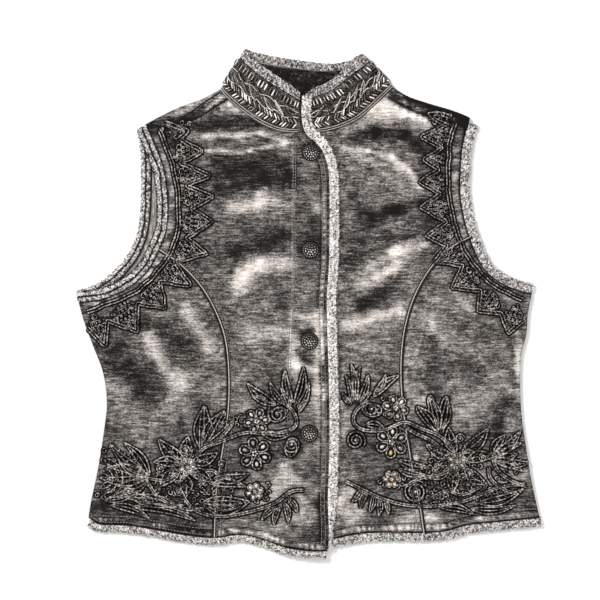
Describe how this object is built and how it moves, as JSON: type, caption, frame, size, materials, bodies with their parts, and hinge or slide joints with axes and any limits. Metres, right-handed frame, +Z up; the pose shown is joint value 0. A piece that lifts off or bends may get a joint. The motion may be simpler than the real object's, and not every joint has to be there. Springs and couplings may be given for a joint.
{
  "type": "sleeveless denim vest laid flat",
  "caption": "Women's sleeveless denim vest with a stand collar, frayed trims, zigzag braid round the armholes and domed buttons, laid flat and buttoned.",
  "frame": {"origin": "centre of the bounding box on the surface that the vest lies on", "axes": "+X to the right as the vest is seen from above, which is the wearer's left; +Y from the hem towards the collar; +Z up off the surface"},
  "size_m": [0.49, 0.5371, 0.0192],
  "materials": {
    "denim": "acid-washed grey and black denim, matt",
    "frayed_denim": "light grey frayed raw-edge cotton, matt",
    "cord": "near-black sewn-on cord",
    "button_metal": "antiqued dark cast metal, semi-gloss"
  },
  "bodies": {
    "root": {"back": "denim", "front_right_centre": "denim", "front_right_side": "denim", "front_left_centre": "denim", "front_left_side": "denim", "collar": "denim", "collar_trim": "frayed_denim", "front_trim": "frayed_denim", "armhole_trim_right_front": "frayed_denim", "armhole_trim_right_back": "frayed_denim", "armhole_trim_left_front": "frayed_denim", "armhole_trim_left_back": "frayed_denim", "hem_trim_right": "frayed_denim", "hem_trim_left": "frayed_denim", "hem_trim_back": "frayed_denim", "armhole_braid_right": "cord", "armhole_braid_left": "cord", "zigzag_braid_right": "cord", "zigzag_braid_left": "cord", "button_1": "button_metal", "button_2": "button_metal", "button_3": "button_metal", "button_4": "button_metal"}
  },
  "joints": []
}
